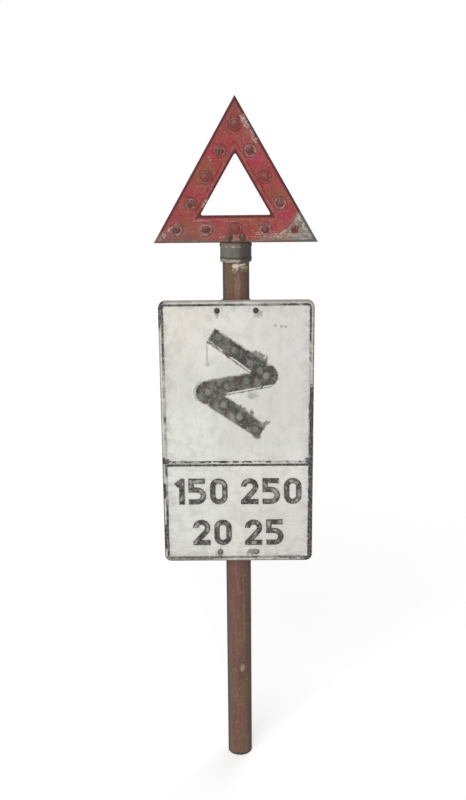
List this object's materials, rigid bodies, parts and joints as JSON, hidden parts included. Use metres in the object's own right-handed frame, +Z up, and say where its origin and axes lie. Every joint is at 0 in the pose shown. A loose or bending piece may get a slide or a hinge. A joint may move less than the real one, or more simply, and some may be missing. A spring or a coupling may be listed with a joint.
{
  "type": "double bend warning sign",
  "caption": "Road warning sign: tubular post with a cast plate bearing a raised double-bend symbol and, on a socket, an open triangle; both are set with glass reflectors.",
  "frame": {"origin": "centre of the post's foot, on the post's axis", "axes": "+Z up the post, -Y out of the sign's face, +X to the right of someone who reads the sign"},
  "size_m": [0.4634, 0.1059, 2.0554],
  "materials": {
    "post_paint": "worn brown oxide paint on steel tube",
    "socket_paint": "worn dark grey paint on a casting",
    "triangle_paint": "faded red enamel on cast alloy",
    "plate_paint": "weathered white enamel with black relief on cast alloy",
    "triangle_glass": "dull red glass",
    "symbol_glass": "dull clear glass",
    "cup_metal": "spun metal",
    "clip_steel": "painted strap, rusting",
    "bolt_steel": "rusted steel"
  },
  "bodies": {
    "post": {"post": "post_paint"},
    "finial": {"finial_socket": "socket_paint", "socket_set_screws": "bolt_steel", "triangle_base_lens_1": "triangle_glass", "triangle_base_lens_2": "triangle_glass", "triangle_base_lens_3": "triangle_glass", "triangle_base_lens_4": "triangle_glass", "triangle_bolts": "bolt_steel", "triangle_left_lens_1": "triangle_glass", "triangle_left_lens_2": "triangle_glass", "triangle_left_lens_3": "triangle_glass", "triangle_left_lens_4": "triangle_glass", "triangle_nuts": "bolt_steel", "triangle_reflector_cups": "cup_metal", "triangle_right_lens_1": "triangle_glass", "triangle_right_lens_2": "triangle_glass", "triangle_right_lens_3": "triangle_glass", "triangle_right_lens_4": "triangle_glass", "triangle_washers": "bolt_steel", "warning_triangle": "triangle_paint"},
    "plate": {"lower_clip_bolts": "bolt_steel", "lower_clip_nuts": "bolt_steel", "lower_clip_washers": "bolt_steel", "lower_post_clip": "clip_steel", "sign_plate": "plate_paint", "symbol_link_lens_1": "symbol_glass", "symbol_link_lens_2": "symbol_glass", "symbol_link_lens_3": "symbol_glass", "symbol_link_lens_4": "symbol_glass", "symbol_lower_arm_lens_1": "symbol_glass", "symbol_lower_arm_lens_2": "symbol_glass", "symbol_lower_arm_lens_3": "symbol_glass", "symbol_reflector_cups": "cup_metal", "symbol_upper_arm_lens_1": "symbol_glass", "symbol_upper_arm_lens_2": "symbol_glass", "symbol_upper_arm_lens_3": "symbol_glass", "upper_clip_bolts": "bolt_steel", "upper_clip_nuts": "bolt_steel", "upper_clip_washers": "bolt_steel", "upper_post_clip": "clip_steel"}
  },
  "joints": [
    {"name": "finial_swivel", "type": "hinge", "parent": "post", "child": "finial", "pos_m": [0, 0, 1.63], "axis": [0, 0, 1], "continuous": true},
    {"name": "plate_swivel", "type": "hinge", "parent": "post", "child": "plate", "pos_m": [0, 0, 1.095], "axis": [0, 0, 1], "continuous": true}
  ]
}
